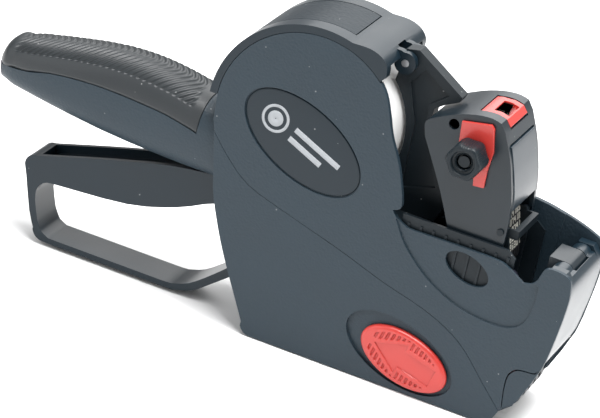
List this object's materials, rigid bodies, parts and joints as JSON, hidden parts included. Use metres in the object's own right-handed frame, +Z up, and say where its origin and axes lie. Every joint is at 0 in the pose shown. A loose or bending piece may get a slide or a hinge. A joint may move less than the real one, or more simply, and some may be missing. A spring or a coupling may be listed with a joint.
{
  "type": "price labeling gun",
  "caption": "Handheld price labeling gun with a trigger lever, tilting roll cover, digit-band print head with selector knob and side release buttons.",
  "frame": {"origin": "on the flat base, on the middle plane of the housing, below the print-head well", "axes": "+X forward to the nose, +Y to the user's left, +Z up from the base"},
  "size_m": [0.2438, 0.0509, 0.1287],
  "materials": {
    "shell": "fine moulded grain",
    "gloss": "polished",
    "rubber": "satin",
    "red": "polished",
    "dark": "satin",
    "steel": "satin",
    "paper": "matte paper",
    "card": "matte cardboard"
  },
  "bodies": {
    "housing": {"right_shell": "shell", "left_shell": "shell", "lower_shell": "shell", "inner_frame": "dark", "front_column": "dark", "handle_core": "shell", "handle_grip": "rubber", "badges": "gloss", "nose_bridge": "shell", "shell_screws": "steel", "lever_pin": "steel", "cover_pin": "steel", "roll_hub": "dark", "platen": "dark", "front_hinge_pin": "steel", "door_pin": "steel", "feed_shaft": "steel"},
    "cover": {"top_cover": "gloss", "cover_inlay": "shell"},
    "nose_door": {"front_cover": "gloss"},
    "base_flap": {"base_door": "shell", "applicator_shaft": "steel"},
    "applicator": {"applicator_roller": "rubber"},
    "lever": {"trigger_lever": "gloss", "yoke": "dark", "head_pin": "steel", "star_lock_rings": "steel", "head_housing": "shell", "window_frame": "red", "head_front": "gloss", "digit_bands": "dark", "band_wheels": "dark", "band_axle": "steel"},
    "selector": {"pointer_plate": "red"},
    "knob": {"selector_knob": "gloss", "selector_shaft": "steel"},
    "inker": {"ink_cradle": "dark", "ink_axle": "steel"},
    "ink_drum": {"ink_roller": "dark"},
    "roll": {"label_roll": "paper", "roll_core": "card"},
    "feeder": {"feed_wheel": "red"},
    "button_right": {"right_button": "red"},
    "button_left": {"left_button": "red"}
  },
  "joints": [
    {"name": "lever_squeeze", "type": "hinge", "parent": "housing", "child": "lever", "pos_m": [-0.055, 0, 0.048], "axis": [0, 1, 0], "range_deg": [0, 12], "stiffness_Nm_per_rad": 0.6, "springref_deg": -28.65},
    {"name": "cover_hinge", "type": "hinge", "parent": "housing", "child": "cover", "pos_m": [-0.0155, 0, 0.1205], "axis": [0, 1, 0], "range_deg": [0, 95]},
    {"name": "nose_hinge", "type": "hinge", "parent": "housing", "child": "nose_door", "pos_m": [0.0623, 0, 0.0632], "axis": [0, 1, 0], "range_deg": [-90, 0]},
    {"name": "base_hinge", "type": "hinge", "parent": "housing", "child": "base_flap", "pos_m": [-0.04, 0, 0.005], "axis": [0, 1, 0], "range_deg": [0, 60]},
    {"name": "applicator_spin", "type": "hinge", "parent": "base_flap", "child": "applicator", "pos_m": [0.0546, 0, 0.0124], "axis": [0, 1, 0], "continuous": true},
    {"name": "knob_pull", "type": "slide", "parent": "lever", "child": "selector", "axis": [0, -1, 0], "range_m": [0, 0.014]},
    {"name": "knob_turn", "type": "hinge", "parent": "selector", "child": "knob", "pos_m": [0.0204, 0, 0.0995], "axis": [0, 1, 0], "continuous": true},
    {"name": "ink_swing", "type": "hinge", "parent": "lever", "child": "inker", "pos_m": [0.0375, 0, 0.0735], "axis": [0, 1, 0], "range_deg": [-36, 0]},
    {"name": "ink_spin", "type": "hinge", "parent": "inker", "child": "ink_drum", "pos_m": [0.0385, 0, 0.0456], "axis": [0, 1, 0], "continuous": true},
    {"name": "roll_spin", "type": "hinge", "parent": "housing", "child": "roll", "pos_m": [-0.0435, 0, 0.0895], "axis": [0, 1, 0], "continuous": true},
    {"name": "feed_spin", "type": "hinge", "parent": "housing", "child": "feeder", "pos_m": [0.038, 0, 0.02], "axis": [0, 1, 0], "continuous": true},
    {"name": "right_release", "type": "slide", "parent": "housing", "child": "button_right", "axis": [-0.9659, 0, 0.2588], "range_m": [0, 0.0042], "stiffness_N_per_m": 300, "springref_m": -0.003},
    {"name": "left_release", "type": "slide", "parent": "housing", "child": "button_left", "axis": [-0.9659, 0, 0.2588], "range_m": [0, 0.0042], "stiffness_N_per_m": 300, "springref_m": -0.003}
  ],
  "couplings": [
    {"joint": "ink_swing", "follows": "lever_squeeze", "ratio": -3}
  ]
}
